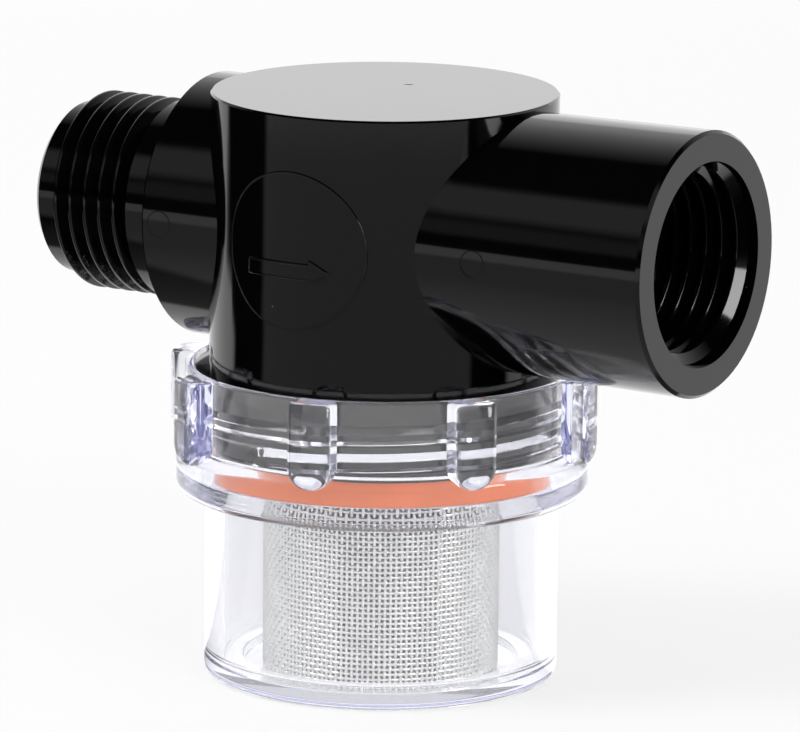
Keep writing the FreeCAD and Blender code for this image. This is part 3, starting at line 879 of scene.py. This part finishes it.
class STRAINER_OT_stage(bpy.types.Operator):
    """Pale floor, soft studio lamps and the camera"""
    bl_idname = "strainer.stage"
    bl_label = "Stage"

    def execute(self, context):
        sizes = context.scene.strainer_stage
        scene = context.scene
        scene.view_settings.view_transform = "Standard"
        # Light bounces many times inside the clear ribs, which turn dark with fewer bounces.
        scene.cycles.max_bounces = 32
        scene.cycles.glossy_bounces = 24
        scene.cycles.transmission_bounces = 32
        bm = bmesh.new()
        bmesh.ops.create_grid(bm, x_segments=2, y_segments=2, size=sizes.floor_half)
        floor = add_object("floor", mesh_from(bm, "floor"))
        floor.data.materials.append(self.floor_material(sizes))
        # The floor goes down with the screen and the bowl, so the bowl stands on it at every pose.
        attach(floor, "screen")
        self.light_world(scene)
        # Each lamp: name, place, width, height, power, lights matt surfaces, shows in gloss.
        for name, place, width, height, power, diffuse, mirrored in (
                ("key_lamp", (-0.45, -0.55, 0.75), 0.45, 0.45, 5.0, True, False),
                ("fill_lamp", (0.75, -0.45, 0.55), 0.4, 0.4, 2.2, True, False),
                ("back_lamp", (-0.33, 0.53, 0.20), 0.8, 0.26, 0.36, True, True),
                ("port_lamp", (0.50, 0.05, 0.14), 0.12, 0.24, 1.0, False, True)):
            lamp = self.add_lamp(name, Vector(place), width, height, power)
            lamp.visible_diffuse = diffuse
            lamp.visible_glossy = mirrored
        self.add_camera(scene, sizes)
        return {"FINISHED"}

    def floor_material(self, sizes):
        """Pale floor that keeps the shadow and reads nearly white.

        What it gives to mirrors is painted light that changes with the distance from the object:
        a painted glow beside the foot, a painted bright back that narrows farther out, and a
        painted front that brightens far away.
        """
        material, nodes, shader, place = new_material("Studio Floor")
        nodes.tree.nodes.remove(shader)
        pale = shade(sizes.floor_colour)
        clouded = nodes.drift(place, 3.0, shade(sizes.floor_colour, 0.985), pale)
        diffuse = nodes.add("ShaderNodeBsdfDiffuse", {"Color": clouded})
        outward = nodes.add("ShaderNodeVectorMath", {0: place}, operation="NORMALIZE").outputs[0]
        reach = nodes.add("ShaderNodeVectorMath", {0: place}, operation="LENGTH").outputs["Value"]
        # painted light: the floor glows for mirrors beside the foot, behind it and far in front
        beside_foot = nodes.span(reach, 0.04, 0.11, 0.22, 0.0)
        wider = nodes.span(reach, 0.19, 0.24, 0.20, 0.0)
        front_share = nodes.span(reach, 0.33, 0.40, 1.0, 2.1)
        room = self.room_light(
            nodes, outward, (0.32, 0.39, 1.15), (-0.32, -0.38, 0.42), front_share, wider)
        room = nodes.maths("ADD", room, beside_foot)
        path, through, mirrored, seen = self.seen_light(nodes, room)
        glow = nodes.add("ShaderNodeEmission", {"Color": WHITE, "Strength": seen})
        glow_straight = 0.72  # the rest is the matt floor, which holds the shadow
        glow_through = 0.75
        share = nodes.maths("ADD", nodes.maths("MULTIPLY", path["Is Camera Ray"], glow_straight),
                            nodes.maths("MULTIPLY", through, glow_through))
        share = nodes.maths("ADD", share, mirrored, clamp=True)
        blend = nodes.add(
            "ShaderNodeMixShader", {0: share, 1: diffuse.outputs[0], 2: glow.outputs[0]})
        nodes.set(nodes.tree.nodes["Material Output"].inputs["Surface"], blend.outputs[0])
        return material

    def light_world(self, scene):
        """White surroundings that glossy surfaces see as a studio."""
        world = bpy.data.worlds.new("Studio")
        world.use_nodes = True
        scene.world = world
        nodes = Nodes(world.node_tree)
        backdrop = world.node_tree.nodes["Background"]
        backdrop.inputs["Color"].default_value = WHITE
        direction = nodes.add("ShaderNodeTexCoord").outputs["Generated"]
        room = self.room_light(nodes, direction, (0.28, 0.80, 1.0), (-0.20, -0.32, 0.44),
                               self.wall_bands(nodes, direction))
        path, through, mirrored, seen = self.seen_light(nodes, room)
        direct = nodes.maths("ADD", path["Is Camera Ray"], nodes.maths("ADD", through, mirrored))
        soft_light = 0.62  # on matt surfaces, from all round
        soft = nodes.maths("SUBTRACT", 1.0, direct, clamp=True)
        soft = nodes.maths("MULTIPLY", soft, soft_light)
        nodes.set(backdrop.inputs["Strength"], nodes.maths("ADD", seen, soft))

    def seen_light(self, nodes, room):
        """What each kind of ray sees: white straight on, the room in gloss, and light through.

        A ray that is bent through clear plastic counts as glossy as well, so it is taken off the
        mirrored ones.
        """
        path = nodes.add("ShaderNodeLightPath").outputs
        through = path["Is Transmission Ray"]
        mirrored = nodes.maths("SUBTRACT", path["Is Glossy Ray"], through, clamp=True)
        seen = nodes.maths("ADD", nodes.maths("MULTIPLY", mirrored, room),
                           self.light_through(nodes, path))
        return path, through, mirrored, nodes.maths("ADD", seen, path["Is Camera Ray"])

    def light_through(self, nodes, path):
        """Brightness seen through clear plastic, made up for what the plastic keeps back."""
        straight = 0.96
        extra_scattered = 0.6  # after a matt surface inside the bowl, such as the gasket
        extra_bounced = 0.4  # after a glossy one, such as the screen's wires
        scattered = nodes.maths("MINIMUM", path["Diffuse Depth"], 1.0)
        bounced = nodes.maths("MINIMUM", path["Glossy Depth"], 1.0)
        extra = nodes.maths("ADD", nodes.maths("MULTIPLY", scattered, extra_scattered),
                            nodes.maths("MULTIPLY", bounced, extra_bounced))
        level = nodes.maths("ADD", extra, straight)
        return nodes.maths("MULTIPLY", path["Is Transmission Ray"], level)

    def wall_bands(self, nodes, direction):
        """Dim bands of light that run round the room's walls, by height."""
        height = nodes.add("ShaderNodeSeparateXYZ", {0: direction}).outputs["Z"]
        ramp = nodes.add("ShaderNodeValToRGB", {0: height})
        stops = ramp.color_ramp.elements
        stops[1].position = 0.13
        stops[1].color = (0, 0, 0, 1)
        # Each stop: height from 0 at the horizon to 1 overhead, and brightness.
        for place, level in ((0.19, 0.41), (0.29, 0.41), (0.37, 0.15), (0.47, 1.0),
                             (0.68, 0.95), (0.74, 0.0)):
            stops.new(place).color = (level, level, level, 1)
        return ramp.outputs[0]

    def room_light(self, nodes, direction, back, front, front_share, wider=0.0):
        """Brightness that a glossy surface mirrors: a bright back, dark sides and a dim front.

        Back and front hold where the light starts, where it is full, and how strong it is, on a
        scale from -1 at the front to 1 at the back. Wider lets the back's light start earlier.
        """
        toward_back = (-0.326, 0.946, 0.0)
        across = nodes.add("ShaderNodeVectorMath", {0: direction, 1: toward_back},
                           operation="DOT_PRODUCT").outputs["Value"]
        start, full, strength = back
        behind = nodes.span(nodes.maths("ADD", across, wider), start, full, 0.0, strength)
        start, full, strength = front
        ahead = nodes.span(across, start, full, 0.0, strength)
        return nodes.maths("ADD", behind, nodes.maths("MULTIPLY", ahead, front_share))

    def add_lamp(self, name, place, width, height, power):
        """Rectangular soft lamp that looks at the object."""
        lamp = bpy.data.lights.new(name, "AREA")
        lamp.shape = "RECTANGLE"
        lamp.size = width
        lamp.size_y = height
        lamp.energy = power
        holder = bpy.data.objects.new(name, lamp)
        holder.location = place
        middle_of_object = Vector((0, 0, 0.035))
        holder.rotation_euler = (middle_of_object - place).to_track_quat("-Z", "Y").to_euler()
        bpy.context.scene.collection.objects.link(holder)
        return holder

    def add_camera(self, scene, sizes):
        """Camera on its long lens, turned, raised and rolled round the object."""
        turn, rise, roll = sizes.camera_turn, sizes.camera_rise, sizes.camera_roll
        level = Vector((math.sin(turn), -math.cos(turn), 0))
        back = level * math.cos(rise) + UP * math.sin(rise)
        right = (-back).cross(UP).normalized()
        lift = right.cross(-back)
        rolled = right * math.cos(roll) + lift * math.sin(roll)
        top = lift * math.cos(roll) - right * math.sin(roll)
        place = right * sizes.camera_side + lift * sizes.camera_lift + back * sizes.camera_distance
        camera = bpy.data.cameras.new("studio_camera")
        camera.lens = sizes.lens
        camera.sensor_width = 36.0
        camera.clip_start = 0.01
        camera.clip_end = 20.0
        holder = bpy.data.objects.new("studio_camera", camera)
        axes = Matrix((rolled, top, back)).transposed().to_4x4()
        holder.matrix_world = Matrix.Translation(place) @ axes
        scene.collection.objects.link(holder)
        scene.camera = holder


class STRAINER_PT_panel(bpy.types.Panel):
    """Lists the strainer's pieces and their sizes"""
    bl_idname = "STRAINER_PT_panel"
    bl_label = "Sea Water Strainer"
    bl_space_type = "VIEW_3D"
    bl_region_type = "UI"
    bl_category = "Strainer"

    def draw(self, context):
        for operator in OPERATORS:
            self.layout.operator(operator.bl_idname)
        for key, group in GROUPS.items():
            box = self.layout.box()
            box.label(text=group.__doc__)
            for field in group.__annotations__:
                box.prop(getattr(context.scene, key), field)


OPERATORS = (
    STRAINER_OT_head,
    STRAINER_OT_medallion,
    STRAINER_OT_pipe_threads,
    STRAINER_OT_ejector_marks,
    STRAINER_OT_bowl,
    STRAINER_OT_gasket,
    STRAINER_OT_screen,
    STRAINER_OT_stage,
)
CLASSES = (*GROUPS.values(), *OPERATORS, STRAINER_PT_panel)


def register():
    """Make the panel, the operators and the sizes known to Blender."""
    for kind in CLASSES:
        bpy.utils.register_class(kind)
    for key, group in GROUPS.items():
        setattr(bpy.types.Scene, key, bpy.props.PointerProperty(type=group))


def unregister():
    """Take back what register made known."""
    for key in GROUPS:
        delattr(bpy.types.Scene, key)
    for kind in reversed(CLASSES):
        bpy.utils.unregister_class(kind)


def main():
    """Make every piece in order."""
    register()
    make_moulded_skin()
    make_dust()
    bpy.ops.strainer.head()
    bpy.ops.strainer.medallion()
    bpy.ops.strainer.pipe_threads()
    bpy.ops.strainer.ejector_marks()
    bpy.ops.strainer.bowl()
    bpy.ops.strainer.gasket()
    bpy.ops.strainer.screen()
    bpy.ops.strainer.stage()


if __name__ == "__main__":
    main()
